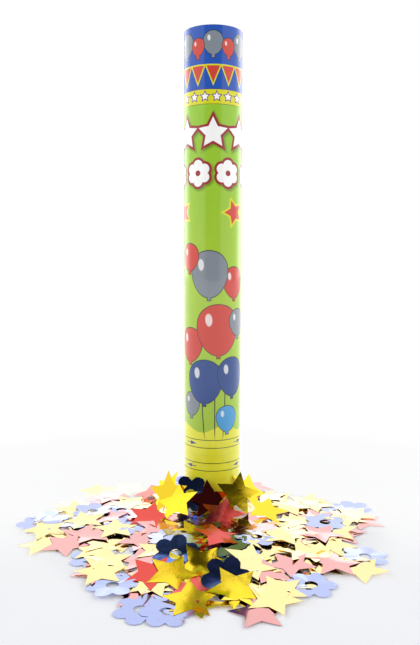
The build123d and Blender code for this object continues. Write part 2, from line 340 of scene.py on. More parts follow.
def makeInkedFill():
    # lays one printed shape, with its outline, over what is below it
    take = openGroup("inkedFill", "Under", "Distance", "Fill", "Line", "LineWidth", "Soft", "Strength")
    away, soft, strength = take["Distance"], take["Soft"], take["Strength"]
    whole = ramp(take["LineWidth"] - away, -soft, soft)
    filled = ramp(-away, -soft, soft)
    lined = blendColour(whole * strength, take["Under"], take["Line"])
    return closeGroup(Colour=blendColour(filled * strength, lined, take["Fill"]))


sheetPlace = makeSheetPlace()
balloonShape = makeBalloonShape()
starShape = makeStarShape()
flowerShape = makeFlowerShape()
pennantShape = makePennantShape()
arrowShape = makeArrowShape()
inkedFill = makeInkedFill()

printInks = {
    "field": (162, 197, 48),
    "fieldLight": (146, 194, 42),
    "sky": (22, 78, 172),
    "yellow": (216, 212, 5),
    "ground": (230, 229, 52),
    "white": (246, 246, 243),
    "crimson": (150, 36, 44),
    "red": (203, 62, 48),
    "grey": (126, 134, 143),
    "blue": (24, 66, 135),
    "lightBlue": (70, 158, 216),
    "plum": (92, 52, 120),
    "ink": (22, 24, 36),
    "olive": (92, 98, 34),
    "arrow": (52, 62, 140),
    "shadow": (58, 88, 20),
}

# sizes and places in millimetres on the unrolled sheet, heights from the foot
filmPrint = {
    "radius": 25.0,
    "soft": 0.16,   # half the width of a printed edge
    "field": {"ramp": (210.0, 345.0), "mottle": 60.0, "mottleScale": 55.0},
    "ground": {"top": 67.0, "waves": 4, "rise": 3.0, "soft": 0.5},
    "yellow": {"bottom": 337.8, "line": 0.4},
    "sky": {"bottom": 349.6, "line": 0.5},
    "pennants": {"count": 12, "shift": 0.0, "level": 368.0, "line": 1.0,
                 "sizes": {"HalfWidth": 5.6, "Drop": 13.5}},
    "cord": {"level": 368.6, "half": 0.5},
    "bandStars": {"count": 16, "shift": 3.0, "level": 343.6, "line": 0.7,
                  "sizes": {"Reach": 3.4, "Turn": 0.0}},
    "bigStars": {"count": 6, "shift": 0.0, "level": 314.6, "sizes": {"Reach": 13.0, "Turn": 0.0}},
    "bigFlowers": {"count": 6, "shift": 13.1, "level": 282.2, "eye": 2.3,
                   "sizes": {"Pitch": 6.6, "Petal": 4.3}},
    "bigLine": 2.1,
    "bigShadow": {"drop": 1.3, "line": 2.4, "soft": 1.6, "strength": 0.55},
    "smallStars": {"count": 3, "shift": 20.0, "level": 250.5, "line": 1.5,
                   "sizes": {"Reach": 10.5, "Turn": 0.35}},
    # colour, middle, height, half width and half height of each balloon, repeated round the tube
    "topBalloons": {"count": 6, "line": 0.45, "shine": 0.75, "each": [
        ("grey", 0.0, 386.0, 8.0, 9.4), ("red", 13.1, 383.0, 5.6, 7.0),
    ]},
    "bunch": {"count": 2, "line": 0.55, "shine": 0.7, "each": [
        ("lightBlue", 13.0, 76.0, 9.5, 11.0), ("grey", -20.0, 88.0, 8.5, 10.0),
        ("blue", -7.0, 108.0, 15.5, 18.5), ("blue", 18.0, 112.0, 13.5, 16.5),
        ("red", -21.0, 139.0, 12.0, 14.5), ("red", 5.0, 152.0, 18.5, 21.5),
        ("grey", 25.0, 158.0, 9.5, 11.5), ("red", 20.0, 192.0, 11.0, 13.0),
        ("grey", -3.0, 199.0, 16.0, 19.5), ("red", -22.0, 213.0, 9.5, 11.5),
    ]},
    # start and bow of each string, the height where they start and their middle height
    "strings": {"each": [(-9.0, 0.0014), (2.0, 0.0), (11.0, -0.0012)], "top": 100.0, "middle": 84.0,
                "taper": 0.02, "half": 0.4},
    "twistLines": (57.6, 50.8, 37.5, 30.8),
    "twistLineHalf": 0.3,
    # height of each band of arrows and the way they point
    "arrows": {"levels": ((54.2, 1.0), (34.15, -1.0)), "shift": -20.1, "pitch": 46.4,
               "sizes": {"Length": 11.5, "Head": 6.6}},
    "grain": {"Scale": 900.0, "Spread": 0.06},
    "rippleScale": 38.0,
    "rippleDepth": 0.00006,
}


def printColour(name):
    return colourOf(*printInks[name])


def makePrintedFilm():
    gloss = {"Roughness": 0.3, "Specular IOR Level": 0.2, "Coat Weight": 1.0, "Coat Roughness": 0.03}
    material, shader, place = newMaterial("printedFilm", **gloss)
    sheet = useGroup(sheetPlace, Place=place, Radius=filmPrint["radius"])
    around, height = sheet["Around"], sheet["Height"]
    girth = 2 * math.pi * filmPrint["radius"]

    def row(count, shift=0.0):
        # the place round the sheet, counted from the middle of the nearest of so many repeats
        return calc("WRAP", around - shift, girth / count / 2, -girth / count / 2)

    def shapeAt(group, across, level, **sizes):
        return useGroup(group, Across=across, Up=height - level, **sizes)

    def lay(under, away, fill, line=None, width=0.0, soft=filmPrint["soft"], strength=1.0):
        inks = {"Fill": printColour(fill), "Line": printColour(line or fill)}
        return useGroup(inkedFill, Under=under, Distance=away, LineWidth=width, Soft=soft, Strength=strength,
                        **inks)["Colour"]

    def rowOf(group, look, drop=0.0):
        return shapeAt(group, row(look["count"], look["shift"] + drop), look["level"] - drop, **look["sizes"])

    def layRow(under, group, name, fill, line):
        return lay(under, rowOf(group, filmPrint[name])["Distance"], fill, line, filmPrint[name]["line"])

    def layBalloons(under, balloons):
        for name, middle, level, wide, tall in balloons["each"]:
            across = row(balloons["count"], middle)
            balloon = shapeAt(balloonShape, across, level, HalfWidth=wide, HalfHeight=tall)
            under = lay(under, balloon["Distance"], name, "ink", balloons["line"])
            under = blendColour(balloon["Shine"] * balloons["shine"], under, printColour("white"))
        return under

    # green field, yellow ground, yellow band and blue top
    field, ground, yellow, sky = [filmPrint[name] for name in ("field", "ground", "yellow", "sky")]
    mottled = height + cloud(place, field["mottleScale"], detail=3.0) * field["mottle"]
    colour = blendColour(ramp(mottled, *field["ramp"]), printColour("field"), printColour("fieldLight"))
    wave = calc("SINE", around * (ground["waves"] / filmPrint["radius"])) * ground["rise"]
    colour = lay(colour, height - ground["top"] - wave, "ground", soft=ground["soft"])
    colour = lay(colour, yellow["bottom"] - height, "yellow", "olive", yellow["line"])
    colour = lay(colour, sky["bottom"] - height, "sky", "plum", sky["line"])
    # pennants on their cord and balloons on the blue
    cord = filmPrint["cord"]
    colour = layRow(colour, pennantShape, "pennants", "red", "yellow")
    colour = lay(colour, abs(height - cord["level"]) - cord["half"], "yellow")
    colour = layBalloons(colour, filmPrint["topBalloons"])
    # stars on the yellow band
    colour = layRow(colour, starShape, "bandStars", "white", "plum")
    # white stars and flowers with a crimson edge, over their soft shadow
    shadow = filmPrint["bigShadow"]
    for drop, inks in (
        (shadow["drop"], ("shadow", None, shadow["line"], shadow["soft"], shadow["strength"])),
        (0.0, ("white", "crimson", filmPrint["bigLine"])),
    ):
        colour = lay(colour, rowOf(starShape, filmPrint["bigStars"], drop)["Distance"], *inks)
        flowers = rowOf(flowerShape, filmPrint["bigFlowers"], drop)
        colour = lay(colour, flowers["Distance"], *inks)
    colour = lay(colour, flowers["FromMiddle"] - filmPrint["bigFlowers"]["eye"], "crimson")
    colour = layRow(colour, starShape, "smallStars", "red", "yellow")
    # a bunch of balloons on strings, once at the front and once behind
    strings = filmPrint["strings"]
    across = row(filmPrint["bunch"]["count"])
    ends = abs((height - strings["middle"]) * strings["taper"])
    for start, bow in strings["each"]:
        sway = square(height - strings["top"]) * bow
        string = calc("MAXIMUM", abs(across - start - sway), ends)
        colour = lay(colour, string - strings["half"], "ink")
    colour = layBalloons(colour, filmPrint["bunch"])
    # twist marks: two bands of arrows, one each side of the split
    for level in filmPrint["twistLines"]:
        colour = lay(colour, abs(height - level) - filmPrint["twistLineHalf"], "olive")
    arrows = filmPrint["arrows"]
    across = row(girth / arrows["pitch"], arrows["shift"])
    for level, way in arrows["levels"]:
        arrow = shapeAt(arrowShape, across, level, Way=way, **arrows["sizes"])
        colour = lay(colour, arrow["Distance"], "arrow")
    grained = useGroup(fineGrain, Place=place, Colour=colour, **filmPrint["grain"])
    ripple = cloud(place, filmPrint["rippleScale"], detail=1.0)
    coverWith(shader, grained["Colour"], ripple, filmPrint["rippleDepth"])
    return material


printedFilm = makePrintedFilm()
print("film print ready")


# Finishes of the other pieces

boardLook = {
    "fibres": ((150, 124, 92), (186, 160, 124)),
    "fibreScale": (3.0, 900.0, 900.0),   # round, up and outwards
    "plyLine": (110, 88, 62),
    "plyScale": 2000.0,
    "plyRamp": (0.3, 0.5),
    "plyShare": 0.45,
    "seam": (92, 72, 50),
    "seamRamp": (0.15, 0.5),   # millimetres, as the spiral's sizes
    "seamShare": 0.7,
    "spiralRise": 9.5,
    "spiralHalfPitch": 30.0,
    "relief": 0.00012,
}


def makeWoundBoard():
    material, shader, place = newMaterial("woundBoard", Roughness=0.85)
    x, y, z = axes(place)
    reach = lengthOf(x, y)
    turn = calc("ARCTAN2", y, x)
    plies = calc("PINGPONG", reach * boardLook["plyScale"], 0.5)
    half = boardLook["spiralHalfPitch"]
    spiral = calc("WRAP", z * 1000.0 + turn * boardLook["spiralRise"], half, -half)
    seam = 1.0 - ramp(abs(spiral), *boardLook["seamRamp"])
    stretched = [part * scale for part, scale in zip((turn, z, reach), boardLook["fibreScale"])]
    fibre = cloud(join(*stretched), 1.0, detail=4.0, rough=0.7)
    colour = blendColour(fibre, *[colourOf(*tint) for tint in boardLook["fibres"]])
    plyMask = ramp(plies, *boardLook["plyRamp"]) * boardLook["plyShare"]
    colour = blendColour(plyMask, colour, colourOf(*boardLook["plyLine"]))
    colour = blendColour(seam * boardLook["seamShare"], colour, colourOf(*boardLook["seam"]))
    coverWith(shader, colour, fibre - seam, boardLook["relief"], 0.6)
    return material


def makeGrained(name, tint, rough, scale, spread, relief, metal=0.0):
    material, shader, place = newMaterial(name, Roughness=rough, Metallic=metal)
    grain = useGroup(fineGrain, Place=place, Scale=scale, Colour=colourOf(*tint), Spread=spread)
    coverWith(shader, grain["Colour"], grain["Height"], relief)
    return material


def makeBrushedMetal(name, tint, rough, lines, relief, dark=0.82, roughSpread=0.22):
    material, shader, place = newMaterial(name, Metallic=1.0)
    streaks = useGroup(brushedRound, Place=place, Lines=lines)["Mask"]
    plug(calc("MULTIPLY_ADD", streaks, roughSpread, rough - roughSpread / 2), shader.inputs["Roughness"])
    coverWith(shader, blendColour(streaks, darkerOf(tint, dark), colourOf(*tint)), streaks, relief)
    return material


foilLook = {
    "surface": {"Metallic": 1.0, "Coat Roughness": 0.06, "Coat IOR": 5.4},
    "dentSize": 110.0,
    "rough": 0.09,
    "roughSpread": 0.12,
    "relief": 0.0004,
    "reliefStrength": 0.35,
    "edgeScale": (20.0, 20.0, 5200.0),   # the cut edges of the foils in a stack
    "edgeRamp": (0.35, 0.65),
    "edgeDark": 0.55,
    "edgeRelief": 0.0001,
}


def makeFoil(name, tint, deepTint, stacked=False):
    # the lacquer lies on one side of the foil, so a piece that shows the bare side has little of it
    material, shader, place = newMaterial(name, **foilLook["surface"])
    plug(attributeOf(place, "sheetLacquer"), shader.inputs["Coat Weight"])
    crinkle = useGroup(foilCrinkle, Place=place, Size=foilLook["dentSize"])
    rough = calc("MULTIPLY_ADD", crinkle["Mask"], foilLook["roughSpread"], foilLook["rough"])
    plug(rough, shader.inputs["Roughness"])
    colour = blendColour(attributeOf(place, "sheetTone"), colourOf(*deepTint), colourOf(*tint))
    height, relief = crinkle["Height"], foilLook["relief"]
    if stacked:
        stretched = [part * scale for part, scale in zip(axes(place), foilLook["edgeScale"])]
        height, relief = cloud(join(*stretched), 1.0), foilLook["edgeRelief"]
        edgeMask = ramp(height, *foilLook["edgeRamp"])
        colour = blendColour(edgeMask, darkerOf(deepTint, foilLook["edgeDark"]), colour)
    coverWith(shader, colour, height, relief, foilLook["reliefStrength"])
    return material


finishes = {   # tint, roughness, scale and spread of the grain or lines of the brush, and relief
    "white_plastic": makeGrained("mouldedWhite", (236, 236, 232), 0.42, 420.0, 0.05, 0.00004),
    "wound_board": makeWoundBoard(),
    "printed_film": printedFilm,
    "fibre": makeGrained("redFibre", (146, 64, 48), 0.8, 900.0, 0.35, 0.00008),
    "kraft_paper": makeGrained("kraftPaper", (176, 138, 92), 0.85, 700.0, 0.3, 0.00006),
    "can_aluminium": makeBrushedMetal("drawnAluminium", (214, 216, 220), 0.3, 2600.0, 0.00002),
    "black_rubber": makeGrained("blackRubber", (30, 30, 32), 0.7, 1200.0, 0.5, 0.00005),
    "grey_plastic": makeGrained("mouldedGrey", (132, 136, 140), 0.45, 420.0, 0.08, 0.00004),
    "spring_steel": makeBrushedMetal("springSteel", (150, 154, 162), 0.32, 4200.0, 0.00001),
    "ball_steel": makeGrained("ballSteel", (205, 208, 214), 0.12, 2200.0, 0.06, 0.000002, metal=1.0),
    "lid_board": makeGrained("lidCard", (222, 218, 208), 0.7, 800.0, 0.12, 0.00006),
    "felt": makeGrained("pressedFelt", (196, 192, 182), 0.95, 1500.0, 0.45, 0.0003),
    "gold_foil": makeFoil("goldFoil", (252, 220, 30), (250, 210, 10)),
    "red_foil": makeFoil("redFoil", (224, 76, 64), (206, 52, 44)),
    "blue_foil": makeFoil("blueFoil", (106, 138, 220), (86, 116, 210)),
    "packed_gold_foil": makeFoil("goldFoilEdges", (255, 214, 44), (246, 182, 12), stacked=True),
    "packed_red_foil": makeFoil("redFoilEdges", (236, 66, 58), (206, 30, 34), stacked=True),
    "packed_blue_foil": makeFoil("blueFoilEdges", (70, 104, 232), (34, 70, 206), stacked=True),
}
slotOfNode = {row["node"]: row["material_slot"] for row in frame["record"]["subparts"]}
for nodeName, node in cadNodes.items():
    node.data.materials.clear()
    node.data.materials.append(finishes[slotOfNode[nodeName]])
print("finishes on", len(cadNodes), "carried pieces")


# Modelling helpers

def clearSelection():
    bpy.ops.object.select_all(action="DESELECT")


def pick(piece):
    clearSelection()
    piece.select_set(True)
    bpy.context.view_layer.objects.active = piece


def applyModifier(piece, modifier):
    pick(piece)
    bpy.ops.object.modifier_apply(modifier=modifier)


def roundEdges(piece, width, segments):
    rims = piece.modifiers.new("rims", "BEVEL")
    rims.width = width
    rims.segments = segments
    rims.limit_method = "ANGLE"
    rims.angle_limit = math.radians(60)
    applyModifier(piece, "rims")


def giveWall(piece, thickness, rimRound=0.0, offset=-1.0):
    wall = piece.modifiers.new("wall", "SOLIDIFY")
    wall.thickness = thickness
    wall.offset = offset
    wall.use_even_offset = True
    applyModifier(piece, "wall")
    if rimRound:
        roundEdges(piece, rimRound, 3)


def smoothOver(piece, angle=35.0):
    pick(piece)
    bpy.ops.object.shade_smooth_by_angle(angle=math.radians(angle))


def settle(name):
    # names the new primitive and puts its place into its mesh
    piece = bpy.context.object
    piece.name = piece.data.name = name
    bpy.ops.object.transform_apply(location=True, rotation=True, scale=True)
    return piece


def addSleeve(name, radius, bottom, top, sides):
    clearSelection()
    bpy.ops.mesh.primitive_cylinder_add(vertices=sides, radius=radius, depth=top - bottom,
                                        end_fill_type="NOTHING", location=(0, 0, (bottom + top) / 2))
    return settle(name)


def startEdit(action="SELECT"):
    bpy.ops.object.mode_set(mode="EDIT")
    bpy.ops.mesh.select_all(action=action)


def extrude(rise=0.0):
    bpy.ops.mesh.extrude_region_move(TRANSFORM_OT_translate={"value": (0, 0, rise)})


def selectRim(piece):
    bpy.ops.mesh.select_all(action="DESELECT")
    shell = bmesh.from_edit_mesh(piece.data)
    for edge in shell.edges:
        edge.select_set(edge.is_boundary)
    bmesh.update_edit_mesh(piece.data)


def faceOutwards():
    bpy.ops.mesh.select_all(action="SELECT")
    bpy.ops.mesh.normals_make_consistent(inside=False)
    bpy.ops.object.mode_set(mode="OBJECT")


def dress(piece, body, slot, node):
    piece.data.materials.clear()
    piece.data.materials.append(finishes[slot])
    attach(piece, body)
    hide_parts(node)


# Wrapped film, one sheet on the launch tube and one on the base

filmWrap = {
    "sides": 192,
    "thickness": 0.2 * mm,
    "seamHalfWidth": 2.6 * mm,
    "seamStep": 0.1 * mm,
    "overhang": 0.27 * mm,   # the tube's film comes down over the washer's edge
}


def wrapFilm(name, node, body, overhang=0.0):
    low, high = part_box(node)
    film = addSleeve(name, high.x, low.z - overhang, high.z, filmWrap["sides"])
    # the sheet's end laps over its start at the back
    startEdit("DESELECT")
    shell = bmesh.from_edit_mesh(film.data)
    for vertex in shell.verts:
        vertex.select_set(vertex.co.y > 0 and abs(vertex.co.x) < filmWrap["seamHalfWidth"])
    shell.select_flush(True)
    bmesh.update_edit_mesh(film.data)
    bpy.ops.transform.shrink_fatten(value=filmWrap["seamStep"])
    bpy.ops.object.mode_set(mode="OBJECT")
    giveWall(film, filmWrap["thickness"])
    smoothOver(film)
    dress(film, body, "printed_film", node)


wrapFilm("tubeFilm", "tube_label", "launcher", filmWrap["overhang"])
wrapFilm("baseFilm", "base_label", "base")
print("films wrapped")


# Wound board tubes

boardTube = {"sides": 160, "wall": 2.0 * mm, "rimRound": 0.25 * mm}


def windBoard(name, node, body):
    low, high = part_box(node)
    board = addSleeve(name, high.x, low.z, high.z, boardTube["sides"])
    giveWall(board, boardTube["wall"], boardTube["rimRound"])
    smoothOver(board)
    dress(board, body, "wound_board", node)


windBoard("tubeBoard", "launch_tube", "launcher")
windBoard("baseBoard", "base_sleeve", "base")
print("board tubes wound")


# Pressed card lid in the muzzle

lidCup = {
    "sides": 128,
    "card": 0.8 * mm,
    "skirtRound": 1.2 * mm,
    "rimRound": 0.2 * mm,
    "ringIn": 5.0 * mm,
    "ringSlope": 0.6 * mm,
    "ringFlat": 1.6 * mm,
    "ringRise": 0.5 * mm,
}


def pressLid():
    low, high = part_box("muzzle_lid")
    clearSelection()
    bpy.ops.mesh.primitive_circle_add(vertices=lidCup["sides"], radius=high.x, fill_type="NGON",
                                      location=(0, 0, low.z))
    lid = settle("muzzleLid")
    startEdit()
    bpy.ops.mesh.inset(thickness=lidCup["ringIn"])
    bpy.ops.mesh.inset(thickness=lidCup["ringSlope"])
    bpy.ops.transform.translate(value=(0, 0, lidCup["ringRise"]))
    bpy.ops.mesh.inset(thickness=lidCup["ringFlat"])
    bpy.ops.mesh.inset(thickness=lidCup["ringSlope"])
    bpy.ops.transform.translate(value=(0, 0, -lidCup["ringRise"]))
    selectRim(lid)
    extrude(high.z - low.z)
    faceOutwards()
    roundEdges(lid, lidCup["skirtRound"], 4)
    giveWall(lid, lidCup["card"], lidCup["rimRound"])
    smoothOver(lid, angle=40.0)
    dress(lid, "lid", "lid_board", "muzzle_lid")


pressLid()
print("lid pressed")


# Die-cut foil blanks, stars and six-petal flowers

foilCut = {
    "thickness": 0.12 * mm,
    "points": 5,
    "starReach": 18.98 * mm,
    "starWaist": 9.2 * mm,
    "tipCut": 1.6 * mm,
    "petals": 6,
    "petalRadius": 6.0 * mm,
    "petalPitch": 10.98 * mm,
    "petalSteps": 5,
    "holeRadius": 4.3 * mm,
    "bareLacquer": 0.06,
}


def cutStar(thickness):
    clearSelection()
    bpy.ops.mesh.primitive_circle_add(vertices=2 * foilCut["points"], radius=foilCut["starWaist"],
                                      fill_type="TRIFAN")
    star = bpy.context.object
    startEdit()
    selectRim(star)
    # every second rim vertex is drawn out to a tip, the rest fall back on the waist
    extrude()
    shell = bmesh.from_edit_mesh(star.data)
    half = math.pi / foilCut["points"]
    for vertex in shell.verts:
        turn = math.atan2(vertex.co.x, vertex.co.y) / half
        vertex.select_set(vertex.select and round(turn) % 2 == 0)
    shell.select_flush(False)
    bmesh.update_edit_mesh(star.data)
    pull = foilCut["starReach"] / foilCut["starWaist"]
    bpy.ops.transform.resize(value=(pull, pull, 1), center_override=(0, 0, 0))
    bpy.ops.mesh.bevel(offset=foilCut["tipCut"], offset_type="WIDTH", segments=2, affect="VERTICES")
    bpy.ops.mesh.select_all(action="SELECT")
    bpy.ops.mesh.remove_doubles(threshold=0.001 * mm)
    faceOutwards()
    return takeBlank(star, thickness)


def cutFlower(thickness):
    clearSelection()
    sides = foilCut["petals"] * foilCut["petalSteps"]
    bpy.ops.mesh.primitive_circle_add(vertices=sides, radius=foilCut["holeRadius"], fill_type="NOTHING")
    flower = bpy.context.object
    startEdit()
    extrude()
    shell = bmesh.from_edit_mesh(flower.data)
    for vertex in shell.verts:
        if vertex.select:
            turn = math.atan2(vertex.co.y, vertex.co.x)
            vertex.co.xy *= flowerOutline(turn) / foilCut["holeRadius"]
    faceOutwards()
    return takeBlank(flower, thickness)


def takeBlank(blank, thickness):
    giveWall(blank, thickness, offset=0.0)
    points = np.array([vertex.co for vertex in blank.data.vertices])
    faces = [tuple(polygon.vertices) for polygon in blank.data.polygons]
    bpy.data.objects.remove(blank)
    return points, faces


def starOutline(angle):
    half = math.pi / foilCut["points"]
    angle = abs((angle + half) % (2 * half) - half)
    reach, waist = foilCut["starReach"], foilCut["starWaist"]
    return reach * waist * math.sin(half) / (reach * math.sin(angle) + waist * math.sin(half - angle))


def flowerOutline(angle):
    half = math.pi / foilCut["petals"]
    angle = (angle + half) % (2 * half) - half
    pitch, petal = foilCut["petalPitch"], foilCut["petalRadius"]
    return pitch * math.cos(angle) + math.sqrt(max(petal ** 2 - (pitch * math.sin(angle)) ** 2, 0.0))


def spinOf(turn):
    return np.array([[math.cos(turn), -math.sin(turn)], [math.sin(turn), math.cos(turn)]])


class FoilPile:
    # one colour's pieces, gathered and made into one mesh

    def __init__(self):
        self.points = []
        self.faces = []
        self.tones = []
        self.lacquers = []
        self.count = 0

    def add(self, points, faces, tone, lacquer):
        self.faces += [tuple(index + self.count for index in face) for face in faces]
        self.points.append(points)
        self.tones += [tone] * len(points)
        self.lacquers += [lacquer] * len(points)
        self.count += len(points)

    def make(self, name):
        mesh = bpy.data.meshes.new(name)
        mesh.from_pydata(np.concatenate(self.points).tolist(), [], self.faces)
        for label, values in (("sheetTone", self.tones), ("sheetLacquer", self.lacquers)):
            mesh.attributes.new(label, "FLOAT", "POINT").data.foreach_set("value", values)
        piece = bpy.data.objects.new(name, mesh)
        bpy.context.scene.collection.objects.link(piece)
        return piece


foilBlanks = {"star": cutStar(foilCut["thickness"]), "flower": cutFlower(foilCut["thickness"])}
print("foil blanks cut")


# Packed stacks of foils in the tube

packedStack = {"seed": 11, "layer": 0.62 * mm, "gap": 0.03 * mm, "turn": 2.5, "shift": 0.35 * mm}


def packStack(name, node, slot, cutBlank):
    low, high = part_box(node)
    count = round((high.z - low.z) / packedStack["layer"])
    pitch = (high.z - low.z) / count
    points, faces = cutBlank(pitch - packedStack["gap"])
    # each stack lies in its own way
    draw = random.Random(packedStack["seed"] + len(node) * 7 + int(low.z * 1000))
    pile = FoilPile()
    for layer in range(count):
        turn = math.radians(draw.uniform(-packedStack["turn"], packedStack["turn"]))
        across = draw.uniform(-1, 1) * packedStack["shift"]
        along = draw.uniform(-1, 1) * packedStack["shift"]
        spun = np.c_[points[:, :2] @ spinOf(turn).T, points[:, 2]]
        spun += (across, along, low.z + pitch * (layer + 0.5))
        pile.add(spun, faces, draw.random(), foilCut["bareLacquer"])
    dress(pile.make(name), "charge", slot, node)


for batch in (1, 2):
    packStack(f"packedGoldStars{batch}", f"packed_gold_stars_{batch}", "packed_gold_foil", cutStar)
    packStack(f"packedRedStars{batch}", f"packed_red_stars_{batch}", "packed_red_foil", cutStar)
    packStack(f"packedBlueFlowers{batch}", f"packed_blue_flowers_{batch}", "packed_blue_foil", cutFlower)
print("stacks packed")


# Loose confetti round the foot: each piece comes to rest on those below it

looseBed = {
    "seed": 23,
    "cell": 1.0 * mm,   # of the map of heights
    "mapMargin": 100 * mm,
    "sampleStep": 0.8 * mm,
    "sampleMargin": 0.3 * mm,
    "gap": 0.12 * mm,
    "tubeGap": 1.2 * mm,
    "middle": (-4 * mm, -44 * mm),
    "halfWidth": 134 * mm,
    "front": 158 * mm,
    "back": 56 * mm,
    "corner": 1.5,   # 2 gives an oval edge and 1 a diamond
    "rests": 0.85,   # share of a piece that lies clear before the rest bends up over what is below
    "layers": (1.0, 0.97, 0.88, 0.66),   # share of the edge's size that each layer fills
    "firstLayers": 2,   # layers below the leaning pieces
    "attempts": 1600,
    "spacing": 23 * mm,
    "mix": (("gold", 0.6), ("red", 0.83), ("blue", 1.0)),
    "underLeaning": 0.06,   # share of a piece that may lie under the leaning ones
    "steepest": 0.2,
    "tilt": 0.035,
    "slopeKept": 0.5,   # share of the slope below that a piece laid on top follows
    "bend": 2.2,
    "twist": 1.6,
    "creases": (0, 0, 0, 0, 0, 0.1, -0.1, 0.18),
    # colour, place in millimetres, turn and any tilts forward and aside, in degrees, of pieces on top
    "onTop": [
        ("blue", -139, -68, 10), ("gold", -130, -80, 30), ("gold", -126, -106, 20),
        ("red", -109, -107, 50, 3), ("red", -92, -90, 14), ("blue", -100, -40, 30),
        ("gold", -75, -82, 8), ("blue", -65, -170, 8), ("gold", -75, -153, 12), ("gold", -71, -21, 40),
        ("blue", -33, -96, 44), ("blue", -24, -112, 10, 3), ("red", 4, -101, 15, 5, -17),
        ("gold", 66, -33, 50), ("blue", 33, -101, 0), ("gold", 53, -98, 60), ("blue", 90, -66, 25),
        ("red", 83, -88, 38), ("gold", 117, -47, 33), ("gold", 65, -122, 5), ("blue", 109, -124, 16),
        ("gold", 102, -146, 30), ("red", 85, -140, 66), ("red", 54, -140, 30, 2),
        ("blue", -26, -134, 20, 24), ("gold", -8, -149, 34, 25), ("blue", 9, -171, 10, 25),
        ("gold", 26, -146, 48), ("blue", 64, -168, 0), ("gold", 43, -177, 24),
        ("red", -41, -158, 40, 14), ("gold", -27, -158, 50, 12), ("blue", -44, -199, 20),
        ("blue", -28, -202, 0), ("red", 27, -203, 8, 2), ("gold", -14, -191, 4, 10),
        ("gold", 14, -180, 30, 14), ("gold", -103, -62, 20), ("red", -51, -62, 60, 14),
        ("gold", 37, -189, 52), ("gold", -105, 13, 12), ("gold", -77, 19, 40), ("red", -92, -6, 26),
    ],
    # colour, place round the foot, lean, turn and facing aside, in degrees, of pieces against the foot
    "leaning": [
        ("blue", -30, 50, 0, 25), ("gold", -52, 60, 0, 0), ("red", -4, 42, 8, 0),
        ("gold", 58, 44, 20, 0), ("gold", -46, 63, 13, 12), ("gold", 26, 60, -13, -18),
        ("red", 7, 24, 50, 0), ("gold", -28, 38, 30, -12), ("gold", 40, 18, 20, 0),
        ("gold", 180, 64, 12, 0), ("red", 118, 15, 0, 0), ("blue", -120, 15, 0, 0),
        ("red", -88, 17, 25, 0),
    ],
    "leanBend": 2.0,
    "rimTurns": 180,   # the map that keeps leaning pieces clear of each other
    "rimLevels": 40,
    "rimStep": 1.5 * mm,
    "rimGap": 0.5 * mm,
    "slideFrom": 100 * mm,   # a leaning piece slides in from here until it meets something
    "slideStep": 0.25 * mm,
    "bareFrom": 4,   # tilt in degrees from which a piece on top shows its bare side
    "mirrorHalfWidth": 22 * mm,   # pieces in front of the tube, which they mirror
    "lacquerDepth": (-200 * mm, 10 * mm),
    "lacquer": (0.75, 1.0),
}
looseShapes = {"gold": "star", "red": "star", "blue": "flower"}
loosePiles = {   # piece, node and finish of each colour
    "gold": ("looseGoldStars", "loose_gold_stars", "gold_foil"),
    "red": ("looseRedStars", "loose_red_stars", "red_foil"),
    "blue": ("looseBlueFlowers", "loose_blue_flowers", "blue_foil"),
}


